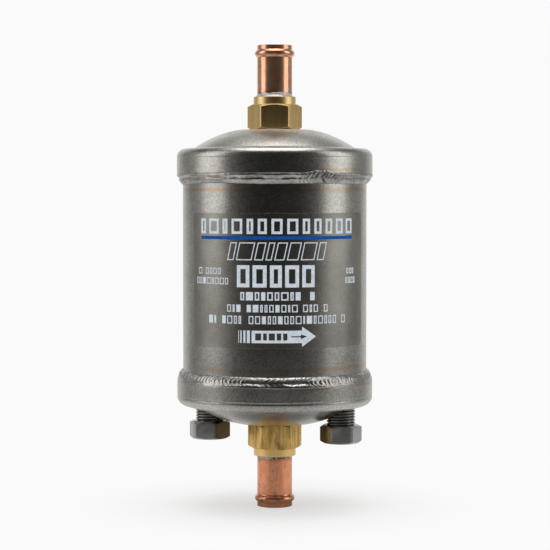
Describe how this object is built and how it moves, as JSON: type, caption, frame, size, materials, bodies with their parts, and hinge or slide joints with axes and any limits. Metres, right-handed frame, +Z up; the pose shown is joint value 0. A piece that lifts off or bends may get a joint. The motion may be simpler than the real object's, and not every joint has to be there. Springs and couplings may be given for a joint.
{
  "type": "filter drier",
  "caption": "Inline filter drier for a refrigerant line: a welded steel vessel with brass adapters, beaded copper stubs and a spring-loaded desiccant block inside.",
  "frame": {"origin": "middle of the lower copper stub's end, on the vessel's axis", "axes": "+Z up the vessel's axis from the outlet stub to the inlet stub, -Y towards the pictured side with the label, +X to the right of the picture"},
  "size_m": [0.0708, 0.0708, 0.1671],
  "materials": {
    "shell_steel": "drawn steel, satin",
    "cap_steel": "pressed steel, satin, with heat tint beside the welds",
    "weld_steel": "as welded",
    "screw_steel": "dark oiled steel",
    "copper": "bare copper, slightly tarnished",
    "brass": "turned, heat darkened",
    "braze": "silver brazing filler",
    "label_film": "dark translucent film with pale print",
    "inner_steel": "pressed sheet steel",
    "spring_steel": "spring wire",
    "fibre_pad": "bonded glass fibre",
    "felt": "felt",
    "desiccant": "moulded molecular sieve and alumina"
  },
  "bodies": {
    "root": {"shell": "shell_steel", "top_cap": "cap_steel", "bottom_cap": "cap_steel", "top_weld_bead": "weld_steel", "bottom_weld_bead": "weld_steel", "top_fitting": "brass", "bottom_fitting": "brass", "top_stub": "copper", "bottom_stub": "copper", "top_stub_braze": "braze", "bottom_stub_braze": "braze", "top_fitting_braze": "braze", "bottom_fitting_braze": "braze", "screw_right": "screw_steel", "screw_left": "screw_steel", "screw_boss_right": "inner_steel", "screw_boss_left": "inner_steel", "label": "label_film", "support_plate": "inner_steel", "outlet_screen": "inner_steel", "filter_pad": "fibre_pad", "core_gasket": "felt", "desiccant_core": "desiccant", "core_follower": "inner_steel", "core_spring": "spring_steel"}
  },
  "joints": []
}
